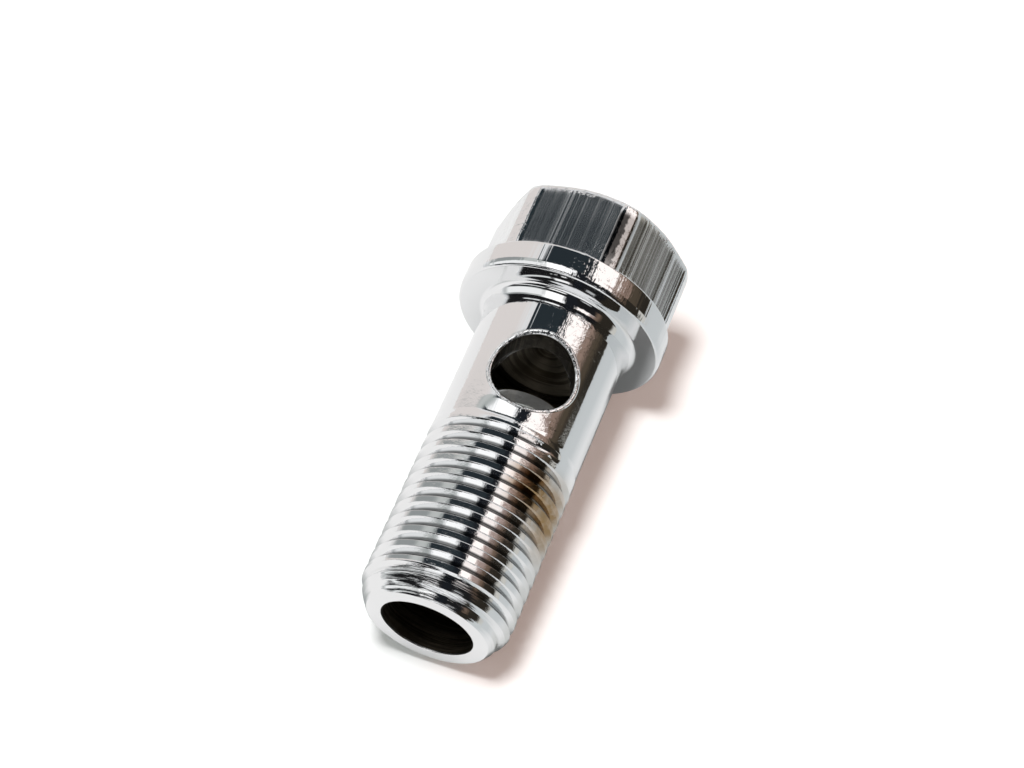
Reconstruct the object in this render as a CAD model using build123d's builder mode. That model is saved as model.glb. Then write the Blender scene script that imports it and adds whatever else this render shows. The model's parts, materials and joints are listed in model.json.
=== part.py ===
"""Banjo bolt M14 x 1.5: hexagon head, round flange, plain shank with a cross hole, and a hollow threaded end.

The bolt is turned from one piece of hexagon bar. It stands on its head: the origin is the centre of the
head's top face, and +Z runs from the head to the threaded tip. The cross hole runs along X. The threaded
end is a plain cylinder of the thread's outer diameter, with its lead-in cone.
"""
import math
import os

from build123d import *

# Head, in millimetres and degrees
hex_flats = 17.0  # across the flats
hex_height = 7.6  # from the top face to the flange
hex_corner_angle = 45.0  # direction of one corner, measured from the cross hole's axis
hex_edge_radius = 0.15
turned_corner_diameter = 19.0  # the corners are turned down to this
top_face_diameter = 16.4  # inside the top chamfer
top_chamfer_angle = 30.0  # between the chamfer and the top face
flange_diameter = 19.7
flange_thickness = 2.8
flange_edge_break = 0.3

# Shank
shank_diameter = 13.7
seat_fillet_radius = 0.75
hole_to_thread = 2.15  # plain stretch from the cross hole's edge to the thread
shoulder_length = 0.6  # slope from the shank up to the thread's outer diameter
length_under_head = 32.2

# Thread
thread_diameter = 13.85  # M14 x 1.5 in tolerance class 6g
tip_face_diameter = 11.2
tip_chamfer_length = 2.2

# Oilways
bore_diameter = 8.5
bore_overrun = 0.5  # full bore past the cross hole, towards the head
drill_point_angle = 118.0
cross_hole_diameter = 7.4
cross_hole_from_seat = 8.45
cross_hole_rim_break = 0.45

# Levels along the axis
seat_level = hex_height + flange_thickness
cross_hole_level = seat_level + cross_hole_from_seat
thread_level = cross_hole_level + cross_hole_diameter / 2 + hole_to_thread
tip_level = seat_level + length_under_head
bore_end_level = cross_hole_level - cross_hole_diameter / 2 - bore_overrun

# Radii, and the heights of the two cones
corner_radius = turned_corner_diameter / 2
shank_radius = shank_diameter / 2
thread_radius = thread_diameter / 2
bore_radius = bore_diameter / 2
top_chamfer_height = (corner_radius - top_face_diameter / 2) * math.tan(math.radians(top_chamfer_angle))
drill_point_height = bore_radius / math.tan(math.radians(drill_point_angle / 2))

with BuildPart() as bolt:
    # Hexagon bar
    with BuildSketch():
        RegularPolygon(hex_flats / 2, 6, major_radius=False, rotation=hex_corner_angle)
    extrude(amount=hex_height)

    # Its corners turned round, and the top chamfered
    with BuildSketch(Plane.XZ):
        with BuildLine():
            Polyline(
                (0, 0),
                (top_face_diameter / 2, 0),
                (corner_radius, top_chamfer_height),
                (corner_radius, hex_height),
                (0, hex_height),
                close=True,
            )
        make_face()
    revolve(axis=Axis.Z, mode=Mode.INTERSECT)
    fillet(bolt.edges().filter_by(Axis.Z), hex_edge_radius)

    # Flange with its edges broken, shank filleted to the seat, and threaded end with its lead-in cone
    with BuildSketch(Plane.XZ) as turned_profile:
        with BuildLine():
            Polyline(
                (0, hex_height),
                (flange_diameter / 2, hex_height),
                (flange_diameter / 2, seat_level),
                (shank_radius, seat_level),
                (shank_radius, thread_level - shoulder_length),
                (thread_radius, thread_level),
                (thread_radius, tip_level - tip_chamfer_length),
                (tip_face_diameter / 2, tip_level),
                (0, tip_level),
                close=True,
            )
        make_face()
        rim_corners = turned_profile.vertices().group_by(Axis.X)[-1]
        seat_corner = turned_profile.vertices().sort_by_distance((shank_radius, seat_level))[0]
        chamfer(rim_corners, flange_edge_break)
        fillet(seat_corner, seat_fillet_radius)
    revolve(axis=Axis.Z)

    # Blind bore from the tip, with the drill's point at its end
    with BuildSketch(Plane.XZ):
        with BuildLine():
            Polyline(
                (0, bore_end_level - drill_point_height),
                (bore_radius, bore_end_level),
                (bore_radius, tip_level),
                (0, tip_level),
                close=True,
            )
        make_face()
    revolve(axis=Axis.Z, mode=Mode.SUBTRACT)

    # Cross hole through both walls into the bore, its outer rims broken all round
    with Locations(Location((0, 0, cross_hole_level), (0, 90, 0))):
        Hole(cross_hole_diameter / 2)
    rims = bolt.edges(Select.LAST).filter_by(
        lambda edge: math.hypot((edge @ 0.25).X, (edge @ 0.25).Y) > (bore_radius + shank_radius) / 2
    )
    chamfer(rims, cross_hole_rim_break)

bolt.part.label = "banjo_bolt"
os.makedirs("parts", exist_ok=True)
export_step(bolt.part, "parts/banjo_bolt.step")
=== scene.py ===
import json
import math

import bpy
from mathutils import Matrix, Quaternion, Vector


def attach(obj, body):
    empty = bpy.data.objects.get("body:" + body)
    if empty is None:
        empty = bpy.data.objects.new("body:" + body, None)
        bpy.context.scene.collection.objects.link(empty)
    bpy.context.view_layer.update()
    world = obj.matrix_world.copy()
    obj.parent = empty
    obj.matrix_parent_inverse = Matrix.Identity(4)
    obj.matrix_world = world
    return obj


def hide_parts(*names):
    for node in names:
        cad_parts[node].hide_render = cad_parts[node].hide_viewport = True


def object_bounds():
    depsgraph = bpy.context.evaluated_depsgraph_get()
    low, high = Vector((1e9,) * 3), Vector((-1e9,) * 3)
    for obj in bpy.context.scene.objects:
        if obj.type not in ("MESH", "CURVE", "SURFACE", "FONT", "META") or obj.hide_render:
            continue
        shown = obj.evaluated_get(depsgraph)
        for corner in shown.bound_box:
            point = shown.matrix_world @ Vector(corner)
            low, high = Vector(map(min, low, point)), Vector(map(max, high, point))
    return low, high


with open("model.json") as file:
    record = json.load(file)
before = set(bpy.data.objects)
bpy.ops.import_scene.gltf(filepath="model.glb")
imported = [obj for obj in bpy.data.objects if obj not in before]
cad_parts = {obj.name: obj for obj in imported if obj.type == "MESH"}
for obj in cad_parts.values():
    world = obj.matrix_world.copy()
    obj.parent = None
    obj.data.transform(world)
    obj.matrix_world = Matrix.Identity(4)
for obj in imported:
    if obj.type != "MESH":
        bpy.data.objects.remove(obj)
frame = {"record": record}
cad_low, cad_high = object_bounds()

MM = 0.001
NODE = "banjo_bolt"

# Sizes taken from the frame
mounts = {mount["name"]: mount for mount in frame["record"]["mounts"]}
FLANGE_RADIUS = cad_high.x
TIP_LEVEL = cad_high.z
SEAT_LEVEL = mounts["seat"]["pos_m"][2]
SHANK_RADIUS = mounts["shank"]["dims"]["r_mm"] * MM
THREAD_RADIUS = mounts["thread"]["dims"]["r_mm"] * MM
THREAD_LENGTH = mounts["thread"]["dims"]["length_mm"] * MM
THREAD_LEVEL = mounts["thread"]["pos_m"][2] - THREAD_LENGTH / 2
CONE_LEVEL = mounts["thread"]["pos_m"][2] + THREAD_LENGTH / 2
BORE_RADIUS = mounts["bore"]["dims"]["r_mm"] * MM
BORE_END = TIP_LEVEL - mounts["bore"]["dims"]["length_mm"] * MM
HOLE_RADIUS = mounts["cross_hole"]["dims"]["r_mm"] * MM
HOLE_LEVEL = mounts["cross_hole"]["pos_m"][2]

# Head
FLAT_DISTANCE = 8.5 * MM  # from the axis to a flat
CORNER_RADIUS = 9.5 * MM  # the corners are turned down to this
CORNER_DIRECTION = math.radians(45)
CORNER_SOFTNESS = 0.35 * MM  # radius of the hexagon's long edges
HEX_HEIGHT = 7.6 * MM
TOP_RADIUS = 8.2 * MM
TOP_SLOPE = math.radians(30)
LIP_SOFTNESS = 0.3 * MM  # radius of the edge where the top face meets its chamfer
BROW_SLOPE = 0.4 * MM  # the edge under the chamfer is rounded from this far up the chamfer
BROW_SHARE = 0.6  # and from no more than this share of the chamfer
BROW_DROP = 1.1 * MM  # to this far down the flats
FOOT_SOFTNESS = 0.8 * MM  # radius of the hollow where the hexagon meets the flange
COLLAR_WIDTH = 0.02 * MM  # what the hollow leaves flat on the flange at its narrowest
FLANGE_SOFTNESS = 0.3 * MM  # radius of the flange's edge by the hexagon, and width of its edge at the seat
FLANGE_DROP = 0.95 * MM  # which starts to round off this far before the seat
SEAT_FILLET = 0.7 * MM  # radius of the fillet at the seat
SHANK_FILLET = 1.9 * MM  # and where it runs out into the shank
FILLET_SPLIT = 28  # degrees of the fillet that have the second radius

# Shank and oilways
WAIST_DEPTH = 0.14 * MM  # the shank is dressed down this much between a cross hole and the thread
WAIST_START = 22.5 * MM
WAIST_LEVEL = 24.25 * MM  # where it is deepest, before it comes up to the thread
WAIST_HALF = math.radians(16)  # how far it reaches to each side at its full depth
WAIST_FADE = math.radians(16)  # and how far from there it fades out
WAIST_SKIN = 0.4 * MM  # walls deeper than this in the shank aren't dressed down
SHOULDER_LENGTH = 0.6 * MM  # slope from the shank up to the thread
DRILL_ANGLE = math.radians(59)  # between the axis and the side of the drill's point
RIM_SOFTNESS = 0.45 * MM  # radius of the cross hole's outer rim
INNER_RIM_SOFTNESS = 0.12 * MM  # and of its rim in the bore
MOUTH_SOFTNESS = 0.06 * MM  # radius of the edge of the bore's mouth

# Thread and tip
PITCH = 1.5 * MM
FLANK_SLOPE = math.radians(56.5)  # between a flank and the axis: plating has filled the groove a little
ROOT_ROUNDING = 0.11 * MM
ROOT_LIFT = 0.8 * ROOT_ROUNDING  # how far this lifts the groove's bottom
CREST_ROUNDING = 0.035 * MM
CREST_SUPPORT = 0.02 * MM  # an extra row this far from a crest's rounding keeps the crest flat
CREST_WIDTH = 0.57 * MM  # between the points where the flanks would meet the crest
ROOT_RADIUS = THREAD_RADIUS - (PITCH - CREST_WIDTH) / 2 * math.tan(FLANK_SLOPE) + ROOT_LIFT
GROOVE_START = math.radians(-48)  # where the first groove begins to sink in
GROOVE_FULL = math.radians(-18)  # where it has its full depth
GROOVE_LEVEL = 25.442 * MM  # height of the groove's centre at direction 0 of its first turn
THREAD_END = CONE_LEVEL + 1.95 * MM  # past this the lead-in is plain
CONE_BLEND = 0.1 * MM  # softness of the edge between the thread's crests and the lead-in
TIP_FACE_RADIUS = 5.6 * MM
TIP_SOFTNESS = 0.06 * MM  # the edge round the tip's face is rounded from this far on both sides
TIP_BULGE = 0.12 * MM  # how far the lead-in stands out from a straight cone

# Mesh
AROUND = 192  # points round the bolt
STEP = math.tau / AROUND
WELD = 0.002 * MM  # points nearer than this are merged
SUPPORT = 0.05 * MM  # an extra row this far from an edge keeps the face beside it flat
WINDOW_STEPS = 26  # from the cross hole's centre to the side of the shank's window
INNER_WINDOW_STEPS = 40  # the same in the bore
WINDOW_LOW = HOLE_LEVEL - 5.15 * MM
WINDOW_HIGH = HOLE_LEVEL + 5.15 * MM
WINDOW_ROWS = 48
INNER_WINDOW_LOW = BORE_END + 0.1 * MM
INNER_WINDOW_HIGH = HOLE_LEVEL + 4.4 * MM
INNER_WINDOW_ROWS = 2 * WINDOW_STEPS + WINDOW_ROWS - 2 * INNER_WINDOW_STEPS
SPARE_TURNS = 3  # turns of rows past the thread's two ends, where they lie flat and are merged

# Steps round the softened edges
CORNER_EDGE_STEPS = 7
CORNER_STEPS = 4
LIP_STEPS = 4
BROW_STEPS = 8
FOOT_STEPS = 6
FLANGE_EDGE_STEPS = 8
SEAT_EDGE_STEPS = 12
SEAT_FILLET_STEPS = 10
SHANK_FILLET_STEPS = 7
RIM_STEPS = 10
INNER_RIM_STEPS = 4
CREST_STEPS = 3
ROOT_STEPS = 3
TIP_STEPS = 6
MOUTH_STEPS = 4

# Rows on the faces between them
TOP_ROW = 4 * MM  # radius of a row on the top face
FLAT_SHARES = (0, 0.3, 0.6, 0.85, 0.97)  # from a flat's middle to its end
WALL_LEVELS = (2.1 * MM, 4 * MM, HEX_HEIGHT - 1.2 * FOOT_SOFTNESS)
FLANGE_SHARES = (0.25, 0.375, 0.5)  # of the flange's thickness
NECK_STEPS = 5
AROUND_HOLE_STEPS = 9
HOLE_SHARES = (0.04, 0.35, 0.65)  # of the hole's wall
INNER_AROUND_HOLE_STEPS = 6
FLANK_SHARES = (0.06, 0.94)  # of a flank
TIP_ROW = 0.1 * MM  # past the end of the thread
MOUTH_ROW = 0.15 * MM  # down the bore
BORE_STEPS = 5
BORE_END_ROW = 0.03 * MM  # before the end of the bore
POINT_SHARES = (0.98, 0.6, 0.2)  # of the drill's point


def at(radius, direction, height):
    """The point at a radius and a direction round the bolt's axis, at a height."""
    return Vector((radius * math.cos(direction), radius * math.sin(direction), height))


def spread(start, end, steps):
    """Evenly spaced values from start to end, both included."""
    return [start + (end - start) * step / steps for step in range(steps + 1)]


def arc(centre_radius, centre_height, radius, start, end, steps):
    """Points (radius, height) of an arc in the axis plane, from start to end in degrees."""
    angles = [math.radians(angle) for angle in spread(start, end, steps)]
    return [(centre_radius + radius * math.cos(a), centre_height + radius * math.sin(a)) for a in angles]


def rounded(start, corner, end, steps):
    """Points of a rounded edge, which leaves start towards the sharp corner and comes from it to end."""
    return [(1 - t) ** 2 * start + 2 * t * (1 - t) * corner + t * t * end for t in spread(0, 1, steps)]


def smooth(value):
    """Eases from 0 to 1 as value goes from 0 to 1."""
    value = min(max(value, 0), 1)
    return value * value * (3 - 2 * value)


def softly_least(first, second, blend):
    """The lesser of two lengths, rounded where they meet."""
    overlap = max(blend - abs(first - second), 0) / blend
    return min(first, second) - overlap * overlap * blend / 4


# ---------------------------------------------------------------- mesh tools


def deselect():
    bpy.ops.object.select_all(action="DESELECT")


def skin(name, rings):
    """A grid wrapped over successive rings of points, all with as many points."""
    deselect()
    columns, rows = len(rings[0]), len(rings)
    bpy.ops.mesh.primitive_grid_add(x_subdivisions=columns - 1, y_subdivisions=rows - 1, size=1)
    piece = bpy.context.object
    piece.name = name
    points = (point for ring in rings for point in ring)
    for vertex, point in zip(piece.data.vertices, points, strict=True):
        vertex.co = point
    piece.location = (0, 0, 0)
    return piece


def skin_across(name, columns):
    """The same over columns of points, each of which runs through all the rings."""
    return skin(name, list(zip(*columns)))


def turned(name, profile, start=0.0, steps=AROUND):
    """A turned surface through (radius, height) points, over a number of steps from a direction."""
    deselect()
    bpy.ops.mesh.primitive_circle_add(vertices=len(profile), radius=1)
    piece = bpy.context.object
    piece.name = name
    for vertex, (radius, height) in zip(piece.data.vertices, profile, strict=True):
        vertex.co = at(radius, start, height)
    bpy.context.tool_settings.mesh_select_mode = (False, True, False)
    for edge in piece.data.edges:
        edge.select = set(edge.vertices) == {0, len(profile) - 1}
    bpy.ops.object.mode_set(mode="EDIT")
    bpy.ops.mesh.delete(type="EDGE")
    bpy.ops.mesh.select_all(action="SELECT")
    bpy.ops.mesh.spin(steps=steps, angle=-steps * STEP, center=(0, 0, 0), axis=(0, 0, 1))
    bpy.ops.object.mode_set(mode="OBJECT")
    return piece


def joined(name, pieces):
    """One closed shell made of pieces whose edges meet, with its faces outwards."""
    deselect()
    for piece in pieces:
        piece.select_set(True)
    bpy.context.view_layer.objects.active = pieces[0]
    bpy.ops.object.join()
    shell = bpy.context.object
    shell.name = shell.data.name = name
    bpy.context.tool_settings.mesh_select_mode = (True, False, False)
    bpy.ops.object.mode_set(mode="EDIT")
    bpy.ops.mesh.select_all(action="SELECT")
    bpy.ops.mesh.remove_doubles(threshold=WELD)
    bpy.ops.mesh.select_all(action="SELECT")
    bpy.ops.mesh.normals_make_consistent(inside=False)
    bpy.ops.object.mode_set(mode="OBJECT")
    bpy.ops.object.shade_smooth()
    return shell


# ---------------------------------------------------------------- the bolt's surfaces


def hexagon_outline():
    """Direction and radius of each point round the hexagon, whose corners are turned round and softened."""
    corner_half = math.pi / 6 - math.acos(FLAT_DISTANCE / CORNER_RADIUS)
    tangent = CORNER_SOFTNESS * math.tan((math.pi / 6 - corner_half) / 2)
    flat_half = math.sqrt(CORNER_RADIUS**2 - FLAT_DISTANCE**2)
    flat_end = Vector((FLAT_DISTANCE, flat_half - tangent))
    edge = Vector((FLAT_DISTANCE, flat_half))
    corner_start = math.pi / 6 - corner_half + tangent / CORNER_RADIUS
    corner = [
        Vector((CORNER_RADIUS * math.cos(a), CORNER_RADIUS * math.sin(a)))
        for a in spread(corner_start, math.pi / 6, CORNER_STEPS)
    ]
    half = [Vector((FLAT_DISTANCE, share * flat_end.y)) for share in FLAT_SHARES]
    half += rounded(flat_end, edge, corner[0], CORNER_EDGE_STEPS) + corner[1:]
    sector = [(math.atan2(p.y, p.x), p.length) for p in half]
    sector += [(math.pi / 3 - direction, radius) for direction, radius in reversed(sector[1:-1])]
    first_flat = CORNER_DIRECTION - math.pi / 6
    return [
        (first_flat + turn * math.pi / 3 + direction, radius)
        for turn in range(6)
        for direction, radius in sector
    ]


def foot_softness(radius):
    """Radius of the hollow between the hexagon, at a distance from the axis, and the flange."""
    return min(FOOT_SOFTNESS, FLANGE_RADIUS - FLANGE_SOFTNESS - radius - COLLAR_WIDTH)


def head():
    """The hexagon with its chamfered top, the top face and the hollow at its foot."""
    face_tangent = LIP_SOFTNESS * math.tan(TOP_SLOPE / 2)
    slope = Vector((math.cos(TOP_SLOPE), math.sin(TOP_SLOPE)))
    face_end = Vector((TOP_RADIUS - face_tangent, 0))
    face_edge = Vector((TOP_RADIUS, 0))
    inner = [Vector((radius, 0)) for radius in (0, TOP_ROW, TOP_RADIUS - 2 * face_tangent)]
    lip = rounded(face_end, face_edge, face_edge + face_tangent * slope, LIP_STEPS)
    columns = []
    for direction, radius in hexagon_outline():
        edge = Vector((radius, (radius - TOP_RADIUS) * math.tan(TOP_SLOPE)))
        up = min(BROW_SLOPE, BROW_SHARE * (radius - TOP_RADIUS) / math.cos(TOP_SLOPE))
        brow = rounded(edge - up * slope, edge, edge + Vector((0, BROW_DROP)), BROW_STEPS)
        wall = [Vector((radius, height)) for height in WALL_LEVELS]
        soft = foot_softness(radius)
        foot = [
            Vector((radius + soft * (1 - math.cos(a)), HEX_HEIGHT - soft * (1 - math.sin(a))))
            for a in spread(0, math.pi / 2, FOOT_STEPS)
        ]
        columns.append([at(p.x, direction, p.y) for p in inner + lip + brow + wall + foot])
    columns.append(columns[0])
    return skin_across("hexagon", columns)


def collar():
    """The flat ring between the hexagon's foot and the flange's rounded edge."""
    outline = hexagon_outline()
    outline.append((outline[0][0] + math.tau, outline[0][1]))
    edge = FLANGE_RADIUS - FLANGE_SOFTNESS
    inner = [at(radius + foot_softness(radius), direction, HEX_HEIGHT) for direction, radius in outline]
    first = math.floor(outline[0][0] / STEP + 0.5)
    outer = [at(edge, (first + step) * STEP, HEX_HEIGHT) for step in range(AROUND + 1)]
    return skin("collar", [inner, outer])


def flange():
    """The flange's edge, the seat with its fillet, and the shank up to the cross hole's window."""
    edge = FLANGE_RADIUS - FLANGE_SOFTNESS
    split = math.radians(FILLET_SPLIT)
    join_radius = SHANK_RADIUS + SHANK_FILLET * (1 - math.cos(split))
    join_level = SEAT_LEVEL + SEAT_FILLET * (1 - math.sin(split))
    fillet = join_radius + SEAT_FILLET * math.cos(split)
    run_out = join_level + SHANK_FILLET * math.sin(split)
    end = -180 + FILLET_SPLIT
    profile = arc(edge, HEX_HEIGHT + FLANGE_SOFTNESS, FLANGE_SOFTNESS, -90, 0, FLANGE_EDGE_STEPS)
    profile += [(FLANGE_RADIUS, HEX_HEIGHT + (SEAT_LEVEL - HEX_HEIGHT) * share) for share in FLANGE_SHARES]
    drop = Vector((FLANGE_RADIUS, SEAT_LEVEL - FLANGE_DROP))
    brink = Vector((FLANGE_RADIUS, SEAT_LEVEL - FLANGE_SOFTNESS / 2))
    profile += rounded(drop, brink, Vector((edge, SEAT_LEVEL)), SEAT_EDGE_STEPS)
    profile += [(edge - SUPPORT, SEAT_LEVEL), (fillet + SUPPORT, SEAT_LEVEL)]
    profile += arc(fillet, SEAT_LEVEL + SEAT_FILLET, SEAT_FILLET, -90, end, SEAT_FILLET_STEPS)
    profile += arc(SHANK_RADIUS + SHANK_FILLET, run_out, SHANK_FILLET, end, -180, SHANK_FILLET_STEPS)[1:]
    profile += [(SHANK_RADIUS, height) for height in spread(run_out, WINDOW_LOW, NECK_STEPS)[1:]]
    return turned("flange", profile)


def window_frame(half_steps, rows, low, high):
    """Direction and height of each point of a window round the cross hole, from its lower side's middle."""
    side = half_steps * STEP
    right = [(side, height) for height in spread(low, high, rows)]
    bottom = [(step * STEP, low) for step in range(half_steps)]
    top = [((half_steps - step) * STEP, high) for step in range(1, 2 * half_steps)]
    left = [(-side, height) for height in spread(high, low, rows)]
    end = [((step - half_steps) * STEP, low) for step in range(1, half_steps + 1)]
    return bottom + right + top + left + end


def on_wall(wall_radius, hole_radius, depth, angle):
    """A point hole_radius from the cross hole's axis, depth below a wall of the bolt's own axis."""
    across = hole_radius * math.cos(angle)
    height = HOLE_LEVEL + hole_radius * math.sin(angle)
    return Vector((math.sqrt(wall_radius**2 - across**2) - depth, across, height))


def between(wall_radius, frame_point, rim_point, share):
    """A point on a wall, part of the way from the window's frame to the hole's rim."""
    side = math.atan2(rim_point.y, rim_point.x)
    direction = frame_point[0] + (side - frame_point[0]) * share
    height = frame_point[1] + (rim_point.z - frame_point[1]) * share
    return at(wall_radius, direction, height)


def hole_column(outer, inner):
    """Points from the shank's window over the hole's rim, wall and inner rim to the bore's window."""
    angle = math.atan2(outer[1] - HOLE_LEVEL, SHANK_RADIUS * math.sin(outer[0]))
    rim = on_wall(SHANK_RADIUS, HOLE_RADIUS + RIM_SOFTNESS, 0, angle)
    column = [between(SHANK_RADIUS, outer, rim, share) for share in spread(0, 1, AROUND_HOLE_STEPS)[:-1]]
    for turn in spread(0, math.pi / 2, RIM_STEPS):
        radius = HOLE_RADIUS + RIM_SOFTNESS * (1 - math.sin(turn))
        column.append(on_wall(SHANK_RADIUS, radius, RIM_SOFTNESS * (1 - math.cos(turn)), angle))
    rim_end = column[-1]
    wall_end = on_wall(BORE_RADIUS, HOLE_RADIUS, -INNER_RIM_SOFTNESS, angle)
    column += [rim_end.lerp(wall_end, share) for share in HOLE_SHARES]
    for turn in spread(0, math.pi / 2, INNER_RIM_STEPS):
        radius = HOLE_RADIUS + INNER_RIM_SOFTNESS * (1 - math.cos(turn))
        column.append(on_wall(BORE_RADIUS, radius, -INNER_RIM_SOFTNESS * (1 - math.sin(turn)), angle))
    inner_rim = column[-1]
    shares = spread(0, 1, INNER_AROUND_HOLE_STEPS)[1:]
    return column + [between(BORE_RADIUS, inner, inner_rim, 1 - share) for share in shares]


def cross_hole(side):
    """The hole's rims and wall, with the shank's and the bore's wall round them, on side 1 or -1."""
    outside = window_frame(WINDOW_STEPS, WINDOW_ROWS, WINDOW_LOW, WINDOW_HIGH)
    inside = window_frame(INNER_WINDOW_STEPS, INNER_WINDOW_ROWS, INNER_WINDOW_LOW, INNER_WINDOW_HIGH)
    columns = [hole_column(outer, inner) for outer, inner in zip(outside, inside, strict=True)]
    piece = skin_across("cross_hole", columns)
    for vertex in piece.data.vertices:
        vertex.co = (side * vertex.co.x, side * vertex.co.y, vertex.co.z)
    return piece


def side_walls(name, radius, half_steps, rows, low, high):
    """The two stretches of a round wall that lie between the cross hole's windows."""
    profile = [(radius, height) for height in spread(low, high, rows)]
    steps = AROUND // 2 - 2 * half_steps
    return [turned(name, profile, start=facing + half_steps * STEP, steps=steps) for facing in (0, math.pi)]


def waist(direction, height):
    """How far the shank is dressed down between a cross hole and the thread, at a direction and a height."""
    aside = abs(math.remainder(direction, math.pi))
    near = 1 - smooth((aside - WAIST_HALF) / WAIST_FADE)
    rising = 1 - smooth((height - WAIST_LEVEL) / (THREAD_LEVEL - WAIST_LEVEL))
    return WAIST_DEPTH * near * smooth((height - WAIST_START) / (WAIST_LEVEL - WAIST_START)) * rising


def dress_down(piece):
    """Takes the waist out of those points of a piece that lie near the shank's surface."""
    for vertex in piece.data.vertices:
        radius = math.hypot(vertex.co.x, vertex.co.y)
        if radius > SHANK_RADIUS - WAIST_SKIN:
            share = 1 - waist(math.atan2(vertex.co.y, vertex.co.x), vertex.co.z) / radius
            vertex.co = (vertex.co.x * share, vertex.co.y * share, vertex.co.z)


def groove_profile():
    """Offset along the axis and depth of each point over one pitch of the thread, from crest to crest."""
    tangent = math.tan(FLANK_SLOPE)
    edge = (PITCH - CREST_WIDTH) / 2
    reach = CREST_ROUNDING * math.tan(FLANK_SLOPE / 2)
    crest = [
        (edge + reach - CREST_ROUNDING * math.sin(a), CREST_ROUNDING * (1 - math.cos(a)))
        for a in spread(0, FLANK_SLOPE, CREST_STEPS)
    ]
    root_end = ROOT_ROUNDING * math.sin(FLANK_SLOPE)
    bottom = (edge - root_end) * tangent + ROOT_ROUNDING * (1 - math.cos(FLANK_SLOPE))
    root = [
        (ROOT_ROUNDING * math.sin(a), bottom - ROOT_ROUNDING * (1 - math.cos(a)))
        for a in spread(FLANK_SLOPE, 0, ROOT_STEPS)
    ]
    slope = [crest[-1][0] + (root_end - crest[-1][0]) * share for share in FLANK_SHARES]
    flat = [(PITCH / 2, 0), (edge + reach + CREST_SUPPORT, 0)]
    half = flat + crest + [(offset, (edge - offset) * tangent) for offset in slope] + root
    return [(-offset, depth) for offset, depth in half] + half[-2:0:-1]


def cone_radius(height):
    """Radius of the lead-in cone at a height."""
    share = (height - CONE_LEVEL) / (TIP_LEVEL - CONE_LEVEL)
    bulge = 4 * TIP_BULGE * max(share * (1 - share), 0)
    return THREAD_RADIUS + (TIP_FACE_RADIUS - THREAD_RADIUS) * share + bulge


def thread_point(direction, turn, offset, depth):
    """The point of a turn at a direction, at an offset and a depth of the groove's profile."""
    along = direction + turn * math.tau
    height = GROOVE_LEVEL + PITCH * along / math.tau + offset
    height = min(max(height, WINDOW_HIGH), THREAD_END)
    sink = smooth((along - GROOVE_START) / (GROOVE_FULL - GROOVE_START))
    shoulder = smooth((height - THREAD_LEVEL + SHOULDER_LENGTH) / SHOULDER_LENGTH)
    blank = SHANK_RADIUS + (THREAD_RADIUS - SHANK_RADIUS) * shoulder - waist(direction, height)
    left = min(max((THREAD_END - height) / (THREAD_END - CONE_LEVEL), 0), 1)
    radius = softly_least(blank, cone_radius(height), CONE_BLEND) - depth * sink * left
    return at(radius, direction, height)


def thread():
    """The threaded end: helical rows over the blank, which sink into the groove and end on the lead-in."""
    turns = math.ceil((THREAD_END - WINDOW_HIGH) / PITCH) + SPARE_TURNS
    first_turn = math.floor((WINDOW_HIGH - GROOVE_LEVEL) / PITCH) - 1
    rings = [
        [thread_point(step * STEP, turn, offset, depth) for step in range(AROUND + 1)]
        for turn in range(first_turn, first_turn + turns)
        for offset, depth in groove_profile()
    ]
    return skin("thread", rings)


def tip():
    """The end of the lead-in, the tip's face, and the bore from its mouth to the cross hole's window."""
    fall = THREAD_RADIUS - TIP_FACE_RADIUS
    cone = Vector((-fall - 4 * TIP_BULGE, TIP_LEVEL - CONE_LEVEL)).normalized()
    corner = Vector((TIP_FACE_RADIUS, TIP_LEVEL))
    profile = [(cone_radius(height), height) for height in (THREAD_END, THREAD_END + TIP_ROW)]
    profile += rounded(corner - TIP_SOFTNESS * cone, corner, corner - Vector((TIP_SOFTNESS, 0)), TIP_STEPS)
    mouth = BORE_RADIUS + MOUTH_SOFTNESS
    profile += [(corner.x - 1.5 * TIP_SOFTNESS, TIP_LEVEL), (mouth + SUPPORT, TIP_LEVEL)]
    profile += arc(mouth, TIP_LEVEL - MOUTH_SOFTNESS, MOUTH_SOFTNESS, 90, 180, MOUTH_STEPS)
    wall = spread(TIP_LEVEL - MOUTH_ROW, INNER_WINDOW_HIGH, BORE_STEPS)
    return turned("tip", profile + [(BORE_RADIUS, height) for height in wall])


def bore_end():
    """The bottom of the bore: its last stretch and the drill's point."""
    point = BORE_END - BORE_RADIUS / math.tan(DRILL_ANGLE)
    wall = (INNER_WINDOW_LOW, BORE_END + BORE_END_ROW, BORE_END)
    profile = [(BORE_RADIUS, height) for height in wall]
    profile += [(BORE_RADIUS * share, point + (BORE_END - point) * share) for share in POINT_SHARES]
    return turned("bore_end", profile + [(0, point)])


def bolt():
    """The whole bolt as one closed shell."""
    inner_window = (INNER_WINDOW_STEPS, INNER_WINDOW_ROWS, INNER_WINDOW_LOW, INNER_WINDOW_HIGH)
    pieces = [head(), collar(), flange(), cross_hole(1), cross_hole(-1)]
    pieces += side_walls("shank", SHANK_RADIUS, WINDOW_STEPS, WINDOW_ROWS, WINDOW_LOW, WINDOW_HIGH)
    pieces += side_walls("bore", BORE_RADIUS, *inner_window)
    for piece in pieces:
        dress_down(piece)
    pieces += [thread(), tip(), bore_end()]
    return joined("plated_bolt", pieces)


# ---------------------------------------------------------------- shaders


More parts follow.
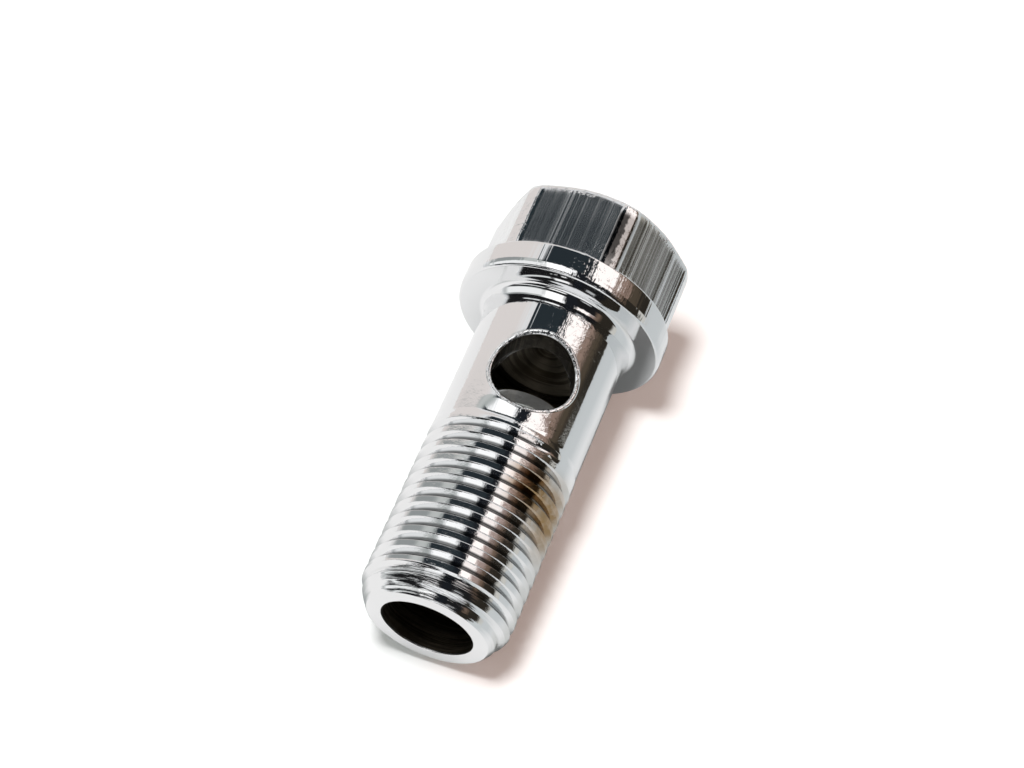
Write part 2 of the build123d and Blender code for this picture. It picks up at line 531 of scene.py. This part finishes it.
class Signal:
    """A shader socket that Python arithmetic works on: each operation adds a Math node."""

    def __init__(self, net, socket):
        self.net = net
        self.socket = socket

    def math(self, operation, *values):
        return self.net.node("ShaderNodeMath", {"operation": operation}, dict(enumerate((self, *values))))

    def __add__(self, other):
        return self.math("ADD", other)

    __radd__ = __add__

    def __sub__(self, other):
        return self.math("SUBTRACT", other)

    def __rsub__(self, other):
        return self.net.node("ShaderNodeMath", {"operation": "SUBTRACT"}, {0: other, 1: self})

    def __mul__(self, other):
        return self.math("MULTIPLY", other)

    __rmul__ = __mul__

    def rise(self, start, end):
        """0 before start, 1 after end, and smooth between."""
        inputs = {"Value": self, "From Min": start, "From Max": end}
        return self.net.node("ShaderNodeMapRange", {"interpolation_type": "SMOOTHSTEP"}, inputs)

    def fall(self, start, end):
        """1 before start, 0 after end, and smooth between."""
        return 1 - self.rise(start, end)

    def band(self, start, end, soft):
        """1 between start and end, with soft edges."""
        return self.rise(start - soft / 2, start + soft / 2) * self.fall(end - soft / 2, end + soft / 2)

    def output(self, key):
        """Another output of the same node."""
        return Signal(self.net, self.socket.node.outputs[key])


class Net:
    """The nodes of one material or world."""

    def __init__(self, owner):
        owner.use_nodes = True
        self.tree = owner.node_tree
        self.tree.nodes.clear()

    def node(self, kind, settings=None, inputs=None, output=0):
        """Adds a node with its settings and its sockets' values or links; returns one of its outputs."""
        made = self.tree.nodes.new(kind)
        for name, value in (settings or {}).items():
            setattr(made, name, value)
        for key, value in (inputs or {}).items():
            if isinstance(value, Signal):
                self.tree.links.new(value.socket, made.inputs[key])
            else:
                made.inputs[key].default_value = value
        return Signal(self, made.outputs[output]) if made.outputs else made

    def mix(self, share, first, second):
        """A colour between two others."""
        inputs = {0: share, 6: colour(first), 7: colour(second)}
        return self.node("ShaderNodeMix", {"data_type": "RGBA"}, inputs, 2)

    def parts(self, vector):
        """The x, y and z of a vector."""
        x = self.node("ShaderNodeSeparateXYZ", {}, {0: vector})
        return x, x.output(1), x.output(2)

    def noise(self, place, scale, detail, roughness):
        """Noise with so many features per metre, along every axis or along each of the three."""
        if isinstance(scale, tuple):
            place = self.node("ShaderNodeMapping", {}, {"Vector": place, "Scale": scale})
            scale = 1.0
        inputs = {"Vector": place, "Scale": scale, "Detail": detail, "Roughness": roughness}
        return self.node("ShaderNodeTexNoise", {}, inputs)

    def patch(self, place, centre, reach):
        """1 near a point and 0 from reach away."""
        away = self.node("ShaderNodeVectorMath", {"operation": "DISTANCE"}, {0: place, 1: centre}, "Value")
        return away.fall(PATCH_CORE * reach, reach)

    def rays(self):
        """1 for rays from the camera, and 1 for rays that shiny things send on."""
        camera_ray = self.node("ShaderNodeLightPath", output="Is Camera Ray")
        return camera_ray, camera_ray.output("Is Glossy Ray")

    def finish(self, kind, surface):
        """The output node."""
        self.node(kind, {}, {"Surface": surface})


def colour(value):
    """A colour with its alpha, or a link left as it is."""
    return value if isinstance(value, Signal) else (*value[:3], 1)


def weighed(base, part, weights):
    """A base value, to which each part of the surface adds its own weight."""
    return sum((part[name] * weight for name, weight in weights.items()), base)


# ---------------------------------------------------------------- chrome plate

# Noises of the plate: features per metre, detail and roughness
NOISES = {
    "lines": ((1.6 / MM, 1.6 / MM, 0.01 / MM), 2.5, 0.7),  # fine, and drawn out along the axis
    "waves": ((0.7 / MM, 0.7 / MM, 0.01 / MM), 1.0, 0.5),  # broader
    "ripple": (1.7 / MM, 3.0, 0.65),
    "clouds": (0.16 / MM, 1.0, 0.5),
    "specks": (2.0 / MM, 3.0, 0.6),
    "cuts": ((0.12 / MM, 0.12 / MM, 5.0 / MM), 3.0, 0.6),  # round the axis, as a drill leaves them
}
FACING_CUTS = (1.0, 3.0, 0.6)  # rings on the top face
FACING_FINENESS = 4.0 / MM  # of them per metre of radius

# Between which values of its noise each kind of mark fades in
STREAKED = (0.42, 0.6)
SCRATCHED = (0.55, 0.68)
SPECKLED = (0.5, 0.75)
CLOUDED = (0.35, 0.65)
HAZY = (0.35, 0.7)
RINGED = (0.4, 0.6)
OIL_THINNED = (0.4, 0.62)
BROWN_TINT_FULL = (0.25, 0.55)

# Between which distances from the axis, heights or other places a part of the surface fades in or out
BORE_WALL = (BORE_RADIUS + 0.04 * MM, BORE_RADIUS + 0.12 * MM)
HOLE_WALL = (HOLE_RADIUS + 0.02 * MM, HOLE_RADIUS + 0.1 * MM)  # distance from the cross hole's axis
NEAR_SIDE = (3 * MM, 4 * MM)  # along the cross hole's axis
FAR_SIDE = (-4 * MM, -3 * MM)
HEXAGON_FOOT = (HEX_HEIGHT - 0.05 * MM, HEX_HEIGHT)
CORNERS = (CORNER_RADIUS - 0.25 * MM, CORNER_RADIUS - 0.1 * MM)
BROW_OUT = (TOP_RADIUS, TOP_RADIUS + 0.2 * MM)
BROW_DOWN = (0.5 * MM, 1.1 * MM)
TOP_FACE = (0.02 * MM, 0.1 * MM)
GROOVE_BOTTOM = (ROOT_RADIUS, ROOT_RADIUS + 0.24 * MM)
FLANGE_EDGE = (FLANGE_RADIUS - 0.3 * MM, FLANGE_RADIUS - 0.1 * MM)
THREADED = (THREAD_LEVEL - 0.5 * MM, THREAD_LEVEL + 0.5 * MM)
# Painted shade on the corner in view: it fades in this far below the top, and is darkest past a direction
# round the axis
CORNER_SHADE_DOWN = (1.3 * MM, 2 * MM)
CORNER_DARK_SIDE = (-15.8, -14.6)  # degrees round the axis
CORNER_DARK_WANDER = 4  # degrees by which that edge wanders

# Start, end and softness of a part
OILWAY_SPAN = (SEAT_LEVEL, TIP_LEVEL - 0.15 * MM, 0.2 * MM)
GROOVED = (THREAD_LEVEL, CONE_LEVEL, 0.6 * MM)
SEAT = (SEAT_LEVEL - 0.1 * MM, SEAT_LEVEL + 1.5 * MM, 0.2 * MM)
LEAD_IN = (CONE_LEVEL - 0.3 * MM, TIP_LEVEL - 0.1 * MM, 0.4 * MM)
HOLE_RIM = (HOLE_RADIUS, HOLE_RADIUS + RIM_SOFTNESS, 0.1 * MM)  # distance from the cross hole's axis

# Centre and reach of the patches, and the share of the reach at which a patch starts to fade
PITTED = (
    (at(FLANGE_RADIUS, math.radians(-12), SEAT_LEVEL - 1.2 * MM), 5.5 * MM),
    (at(SHANK_RADIUS, math.radians(-16), 13.4 * MM), 4 * MM),
    (at(SHANK_RADIUS, math.radians(-16), 24.2 * MM), 3.5 * MM),
)
# Patches where the thread is tinted brown
BROWN_PATCHES = (
    (at(THREAD_RADIUS, math.radians(-64), 30.2 * MM), 5.2 * MM),
    (at(THREAD_RADIUS, math.radians(-38), 29.4 * MM), 3.8 * MM),
)
NECK = (at(SHANK_RADIUS, math.radians(14), 13.4 * MM), 3.6 * MM)
# The corner in view, which gets painted shade
SHADED_CORNER = (at(CORNER_RADIUS, CORNER_DIRECTION - math.pi / 3, HEX_HEIGHT / 2), 7 * MM)
PATCH_CORE = 0.2

# Depth of the relief, and how strong each kind of mark is on the whole surface and on a part of it
RELIEF = 0.02 * MM
LINES = 0.3
LINES_ON = {"flat": 0.3, "streaked": 0.9, "corner": 2.6, "rim": 1.2, "neck": 2.2, "threaded": -0.2}
WAVES_ON_FLAT = 0.8
RIPPLES = 0.1
RIPPLES_ON = {"clouded": 0.15, "pitted": 0.7, "corner": 1.2, "hole_rim": 3.0, "brow": 2.5, "threaded": 0.7}
SPECKS = 0.0  # none on the rest
SPECKS_ON = {"pitted": 0.6, "hole_rim": 3.0, "corner": 0.6, "brow": 2.5}
CUTS_ON_LEAD_IN = 1.6
CUTS_ON_FACE = 0.6
THREAD_CALM = 0.5  # share of the ripples that is missing on the thread
FLAT_CALM = 0.9  # and on the flats
SEAT_CALM = 0.75  # share of all but the cuts that is missing on the seat

# Colours, and how far the later ones cover the plate
PLATE = (0.86, 0.865, 0.87)
BROWN_TINT = (0.36, 0.24, 0.12)
BROWN_TINT_LEAST = 0.8
FACED = (0.5, 0.505, 0.51)
FACED_COVER = 0.3
# Painted shade on the corner in view, and darker painted shade on one side of it
CORNER_SHADE = (0.3, 0.285, 0.275)
CORNER_SHADE_COVER = 0.8
CORNER_DARK_SHADE = (0.036, 0.035, 0.034)
CORNER_DARK_SHADE_COVER = 0.95
# Painted shade at the bottom of the thread's groove
ROOT_SHADE = (0.13, 0.135, 0.135)
ROOT_SHADE_COVER = 0.85
# Dark oil in the oilways, which is partly painted shade
OIL_AND_SHADE = (0.05, 0.04, 0.026)
THIN_OIL_AND_SHADE = (0.13, 0.112, 0.085)
FAR_OIL_AND_SHADE = 0.7  # how much of the oil and its painted shade the hole's wall gets on the far side
ROUGHNESS = 0.04
ROUGHNESS_ON = {"hazy": 0.03, "flat": 0.11, "scratched": 0.1, "oilway": 0.4}


def surface_parts(net, place, noise):
    """The parts of the bolt's surface by name, each 1 where it is and 0 elsewhere."""
    x, y, z = net.parts(place)
    around = (x * x + y * y).math("SQRT")
    from_hole = (y * y + (z - HOLE_LEVEL) * (z - HOLE_LEVEL)).math("SQRT")
    # painted shade: the cross hole's wall is darker on its near side than on its far side
    oily_shaded_hole = from_hole.fall(*HOLE_WALL) * (x.rise(*NEAR_SIDE) + x.fall(*FAR_SIDE) * FAR_OIL_AND_SHADE)
    hexagon = z.fall(*HEXAGON_FOOT)
    corner = hexagon * around.rise(*CORNERS)
    flat = hexagon - corner
    pitted = [net.patch(place, *spot) for spot in PITTED]
    tarnished = [net.patch(place, *spot) for spot in BROWN_PATCHES]
    # painted shade on the corner in view, darkest on one side of it
    worn = corner * net.patch(place, *SHADED_CORNER) * z.rise(*CORNER_SHADE_DOWN)
    turn = y.math("ARCTAN2", x) * math.degrees(1) + (noise["ripple"] - 0.5) * CORNER_DARK_WANDER
    return {
        # the bore's and cross hole's walls, darkened with oil and painted shade
        "oilway": around.fall(*BORE_WALL).math("MAXIMUM", oily_shaded_hole) * z.band(*OILWAY_SPAN),
        "corner": corner,
        "flat": flat,
        "streaked": flat * noise["waves"].rise(*STREAKED),
        "scratched": flat * noise["lines"].rise(*SCRATCHED),
        "brow": around.rise(*BROW_OUT) * z.fall(*BROW_DOWN),
        "face": z.fall(*TOP_FACE),
        # the groove's bottom, which gets painted shade
        "root": z.band(*GROOVED) * around.fall(*GROOVE_BOTTOM),
        "seat": z.band(*SEAT),
        "lead_in": z.band(*LEAD_IN),
        "rim": around.rise(*FLANGE_EDGE),
        "hole_rim": from_hole.band(*HOLE_RIM),
        "threaded": z.rise(*THREADED),
        "neck": net.patch(place, *NECK),
        "clouded": noise["clouds"].rise(*CLOUDED),
        "hazy": noise["clouds"].rise(*HAZY),
        "pitted": pitted[0] + pitted[1] + pitted[2],
        "tarnished": tarnished[0].math("MAXIMUM", tarnished[1]),
        "worn": worn,
        "worn_dark": worn * turn.rise(*CORNER_DARK_SIDE),
    }


def relief(noise, part):
    """Height of the marks that show through the plate, and of the cuts of the lathe and the drill."""
    ripples = noise["ripple"] * weighed(RIPPLES, part, RIPPLES_ON)
    ripples = ripples * (1 - part["threaded"] * THREAD_CALM) * (1 - part["flat"] * FLAT_CALM)
    specks = noise["specks"].rise(*SPECKLED) * weighed(SPECKS, part, SPECKS_ON)
    height = noise["lines"] * weighed(LINES, part, LINES_ON)
    height = height + noise["waves"] * part["flat"] * WAVES_ON_FLAT + ripples + specks
    height = height * (1 - part["seat"] * SEAT_CALM)
    height = height + noise["cuts"] * (part["lead_in"] * CUTS_ON_LEAD_IN + part["oilway"])
    return height + noise["facing_cuts"] * part["face"] * CUTS_ON_FACE


def plate_colour(net, noise, part):
    """The plate with its brown patches, painted shade on the corner in view and at the groove's bottom, and
    the oil in the oilways, which is partly painted shade.
    """
    uneven = noise["ripple"].rise(*BROWN_TINT_FULL) * (1 - BROWN_TINT_LEAST) + BROWN_TINT_LEAST
    rings = part["face"] * noise["facing_cuts"].rise(*RINGED)
    plate = net.mix(part["tarnished"] * uneven, PLATE, BROWN_TINT)
    plate = net.mix(rings * FACED_COVER, plate, FACED)
    # painted shade on the corner in view
    plate = net.mix(part["worn"] * CORNER_SHADE_COVER, plate, CORNER_SHADE)
    plate = net.mix(part["worn_dark"] * CORNER_DARK_SHADE_COVER, plate, CORNER_DARK_SHADE)
    # painted shade at the groove's bottom
    plate = net.mix(part["root"] * ROOT_SHADE_COVER, plate, ROOT_SHADE)
    # oil in the oilways, partly painted shade
    oil = net.mix(noise["cuts"].rise(*OIL_THINNED), OIL_AND_SHADE, THIN_OIL_AND_SHADE)
    return net.mix(part["oilway"], plate, oil)


def chrome():
    """Plated steel: bright outside, with drawn lines and ripples under the plate, and oily inside, where the
    oil's dark colour is partly painted shade.
    """
    material = bpy.data.materials.new("chrome_plate")
    net = Net(material)
    place = net.node("ShaderNodeTexCoord", output="Object")
    x, y, _ = net.parts(place)
    radius = net.node("ShaderNodeCombineXYZ", {}, {0: (x * x + y * y).math("SQRT") * FACING_FINENESS})
    noise = {name: net.noise(place, *settings) for name, settings in NOISES.items()}
    noise["facing_cuts"] = net.noise(radius, *FACING_CUTS)
    part = surface_parts(net, place, noise)
    bumps = {"Height": relief(noise, part), "Distance": RELIEF, "Strength": 1.0}
    inputs = {
        "Base Color": plate_colour(net, noise, part),
        "Metallic": 1.0,
        "Roughness": weighed(ROUGHNESS, part, ROUGHNESS_ON),
        "Normal": net.node("ShaderNodeBump", {}, bumps),
    }
    net.finish("ShaderNodeOutputMaterial", net.node("ShaderNodeBsdfPrincipled", {}, inputs))
    return material


# ---------------------------------------------------------------- studio

# What the chrome mirrors, in degrees round the bolt's axis and above its cross-section: from, to and
# softness in each direction, and the colour. A later item covers an earlier one.
STUDIO = (
    ("pink wall", (52, 122, 16), (-100, -25, 4), (0.78, 0.73, 0.71)),
    ("dark room", (-88, 98, 8), (-8, 100, 5), (0.012, 0.012, 0.013)),
    ("grey wall", (38, 97, 16), (-27.6, 20, 2), (0.4, 0.43, 0.42)),
    ("pale curtain", (46, 64, 12), (-27.6, 20, 2), (0.54, 0.56, 0.55)),
    ("grey curtain", (62, 100, 16), (-27.6, 20, 2), (0.31, 0.33, 0.33)),
    ("bright wall", (36, 97, 12), (-13, 16, 3), (0.95, 0.96, 0.96)),
    ("main window", (6, 35, 8), (-26, 18, 3), (1.3, 1.3, 1.3)),
    ("pink window", (-46, -12.5, 5), (-100, -8, 6), (1.25, 1.15, 1.11)),
    ("pink blind", (-46, -31, 6), (-28, -23, 1.5), (0.4, 0.3, 0.27)),
    ("pink curtain", (-52, -37, 8), (-27, -8, 2), (0.36, 0.27, 0.24)),
    ("brown curtain", (-60, -45, 8), (-100, 20, 5), (0.16, 0.11, 0.08)),
    ("cream wall", (-100, -84, 6), (-100, 20, 5), (0.62, 0.57, 0.48)),
    ("dark curtain", (-91, -53, 8), (-100, 100, 5), (0.026, 0.022, 0.017)),
    ("tan curtain", (-62, -44, 13), (-100, -27, 2), (0.3, 0.21, 0.17)),
    ("brown shade", (-74, -60, 12), (-100, -27, 2), (0.08, 0.062, 0.044)),
    ("window bar", (-12, 3, 4), (-100, 100, 4), (0.012, 0.014, 0.018)),
    ("window post", (-15.5, -8, 4), (-28, 20, 2), (0.012, 0.014, 0.018)),
    ("side wall", (-100, -77, 6), (-28, 20, 2), (0.62, 0.61, 0.57)),
    ("dark table", (-6, 42, 8), (-52, -23, 1.5), (0.022, 0.03, 0.036)),
    ("ceiling lamp", (-75, 60, 10), (62, 88, 5), (0.95, 0.96, 0.97)),
    ("high window", (8, 36, 8), (38, 51, 3), (1.2, 1.2, 1.2)),
    ("side window", (42, 98, 6), (37, 45, 3), (0.9, 0.92, 0.92)),
    ("far window", (-36, -20, 5), (36, 50, 3), (0.55, 0.56, 0.57)),
)
REST_OF_STUDIO = (0.82, 0.83, 0.84)
ROOM_LIGHT = (0.3, 0.29, 0.285)  # what the world gives to all that isn't shiny
WHITE = (1.0, 1.0, 1.0)

# Paper under the bolt, whose left and right are those of the camera's view
REST_DIRECTION = math.radians(190)  # side on which the bolt lies against the floor
PAPER_RADIUS = 0.15
PAPER_POINTS = 128
PAPER = (0.85, 0.85, 0.85)
GLOW_IN_CHROME = (0.03, 0.03, 0.03)  # the paper glows a little, so that its shadow isn't black
GLOW_RIGHT = (0.2, 0.12, 0.09)  # the same to the camera, on each side of the bolt
GLOW_LEFT = (0.11, 0.125, 0.115)
GLOW_TURN = (-6 * MM, 2 * MM)

# The paper as the chrome mirrors it: plain, far to the right, and with painted shade on each side of the
# thread and by the head
MIRRORED = (0.76, 0.76, 0.76)
MIRRORED_FAR_RIGHT = (0.5, 0.53, 0.54)
FAR_RIGHT = (-30 * MM, -6 * MM)
MIRRORED_SHADE_RIGHT = (0.5, 0.51, 0.5)
MIRRORED_SHADE_LEFT = (0.24, 0.26, 0.26)
SIDE_TURN = (-5 * MM, 5 * MM)
THREAD_REACH = (9 * MM, 24 * MM)
THREAD_SPAN = (22 * MM, 43 * MM, 5 * MM)
MIRRORED_SHADE_BY_HEAD = (0.35, 0.37, 0.37)
HEAD_COVER = 0.7
HEAD_REACH = (10 * MM, 17 * MM)
HEAD_SPAN = (15 * MM, 23 * MM)

# Camera: azimuth and elevation of its place seen from the bolt, and its roll about its own line of sight
VIEW_AZIMUTH = math.radians(-4.36)
VIEW_ELEVATION = math.radians(29.14)
VIEW_ROLL = math.radians(156.0)
VIEW_DISTANCE = 225.75 * MM
VIEW_CENTRE = Vector((0.14, 1.833, 17.339)) * MM
LENS = 87.89
SENSOR_WIDTH = 36
NEAREST_SEEN = 0.01

# Key lamp
LAMP_WIDTH = 0.19
LAMP_POWER = 4.5
LAMP_DISTANCE = 0.7
LAMP_LEAN = 0.12  # to the left and to the foot of the camera's view, for 1 straight up from the floor


def floor_frame():
    """A point of the floor and the floor's upward normal: it touches the flange and the thread."""
    low = Vector((FLANGE_RADIUS, SEAT_LEVEL - FLANGE_DROP))
    high = Vector((THREAD_RADIUS, CONE_LEVEL))
    along = high - low
    normal = Vector((along.y, -along.x)).normalized()
    up = -at(normal.x, REST_DIRECTION, 0) - Vector((0, 0, normal.y))
    return at(low.x, REST_DIRECTION, low.y), up


def white_paper():
    """Paper that keeps the bolt's shadow, has painted shade near the bolt as the chrome sees it, and is
    clear from below.
    """
    material = bpy.data.materials.new("white_paper")
    net = Net(material)
    camera_ray, glossy_ray = net.rays()
    x, y, z = net.parts(net.node("ShaderNodeTexCoord", output="Object"))
    away = (x * x + y * y).math("SQRT")
    # painted shade on the paper round the bolt, seen only in the chrome
    shade_by_thread = away.fall(*THREAD_REACH) * z.band(*THREAD_SPAN)
    shade_by_head = away.fall(*HEAD_REACH) * z.fall(*HEAD_SPAN)
    mirrored = net.mix(y.rise(*FAR_RIGHT), MIRRORED_FAR_RIGHT, MIRRORED)
    mirrored = net.mix(shade_by_thread, mirrored, net.mix(y.rise(*SIDE_TURN), MIRRORED_SHADE_RIGHT, MIRRORED_SHADE_LEFT))
    mirrored = net.mix(shade_by_head * HEAD_COVER, mirrored, MIRRORED_SHADE_BY_HEAD)
    paper = net.node("ShaderNodeBsdfDiffuse", {}, {"Color": net.mix(glossy_ray, PAPER, mirrored)})
    glow = net.mix(camera_ray, GLOW_IN_CHROME, net.mix(y.rise(*GLOW_TURN), GLOW_RIGHT, GLOW_LEFT))
    glow = net.node("ShaderNodeEmission", {}, {"Color": glow, "Strength": camera_ray + glossy_ray})
    lit = net.node("ShaderNodeAddShader", {}, {0: paper, 1: glow})
    below = net.node("ShaderNodeNewGeometry", output="Backfacing")
    clear = net.node("ShaderNodeBsdfTransparent")
    net.finish("ShaderNodeOutputMaterial", net.node("ShaderNodeMixShader", {}, {0: below, 1: lit, 2: clear}))
    return material


def floor():
    """A round sheet of paper that the bolt lies on; returns its upward normal."""
    point, up = floor_frame()
    turn = up.to_track_quat("Z", "Y").to_euler()
    deselect()
    bpy.ops.mesh.primitive_circle_add(
        vertices=PAPER_POINTS, radius=PAPER_RADIUS, fill_type="NGON", location=point, rotation=turn
    )
    piece = bpy.context.object
    piece.name = "floor"
    bpy.ops.object.transform_apply(location=True, rotation=True, scale=True)
    piece.data.materials.append(white_paper())
    return up


def surroundings():
    """The world: white to the camera, the studio to the chrome, and a plain soft light to all the rest."""
    world = bpy.data.worlds.new("studio")
    bpy.context.scene.world = world
    net = Net(world)
    camera_ray, glossy_ray = net.rays()
    x, y, z = net.parts(net.node("ShaderNodeTexCoord", output="Generated"))
    azimuth = y.math("ARCTAN2", x) * math.degrees(1)
    elevation = z.math("ARCSINE") * math.degrees(1)
    seen = REST_OF_STUDIO
    for _, across, upright, shade in STUDIO:
        seen = net.mix(azimuth.band(*across) * elevation.band(*upright), seen, shade)
    light = net.mix(camera_ray, net.mix(glossy_ray, ROOM_LIGHT, seen), WHITE)
    background = net.node("ShaderNodeBackground", {}, {"Color": light, "Strength": 1.0})
    net.finish("ShaderNodeOutputWorld", background)


def camera():
    """The camera, at its place round the bolt and turned about its own line of sight."""
    back = at(math.cos(VIEW_ELEVATION), VIEW_AZIMUTH, math.sin(VIEW_ELEVATION))
    data = bpy.data.cameras.new("camera")
    data.lens = LENS
    data.sensor_width = SENSOR_WIDTH
    data.clip_start = NEAREST_SEEN
    made = bpy.data.objects.new("camera", data)
    bpy.context.collection.objects.link(made)
    made.rotation_mode = "QUATERNION"
    made.location = VIEW_CENTRE + back * VIEW_DISTANCE
    made.rotation_quaternion = back.to_track_quat("Z", "Y") @ Quaternion((0, 0, 1), -VIEW_ROLL)
    bpy.context.scene.camera = made


def key_light(up):
    """One soft lamp above the floor, which leans a little to the left and the foot of the camera's view."""
    seen_from = bpy.context.scene.camera.rotation_quaternion
    left = seen_from @ Vector((-1, 0, 0))
    top = seen_from @ Vector((0, 1, 0))
    aim = (up + left * LAMP_LEAN - top * LAMP_LEAN).normalized()
    data = bpy.data.lights.new("key", "AREA")
    data.shape = "DISK"
    data.size = LAMP_WIDTH
    data.energy = LAMP_POWER
    lamp = bpy.data.objects.new("key", data)
    bpy.context.collection.objects.link(lamp)
    lamp.location = Vector((0, 0, HOLE_LEVEL)) + aim * LAMP_DISTANCE
    lamp.rotation_mode = "QUATERNION"
    lamp.rotation_quaternion = aim.to_track_quat("Z", "Y")
    lamp.visible_glossy = False
    lamp.visible_camera = False


body = bolt()
body.data.materials.clear()
body.data.materials.append(chrome())
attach(body, "root")
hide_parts(NODE)

camera()
key_light(floor())
surroundings()
bpy.context.scene.view_settings.view_transform = "Standard"
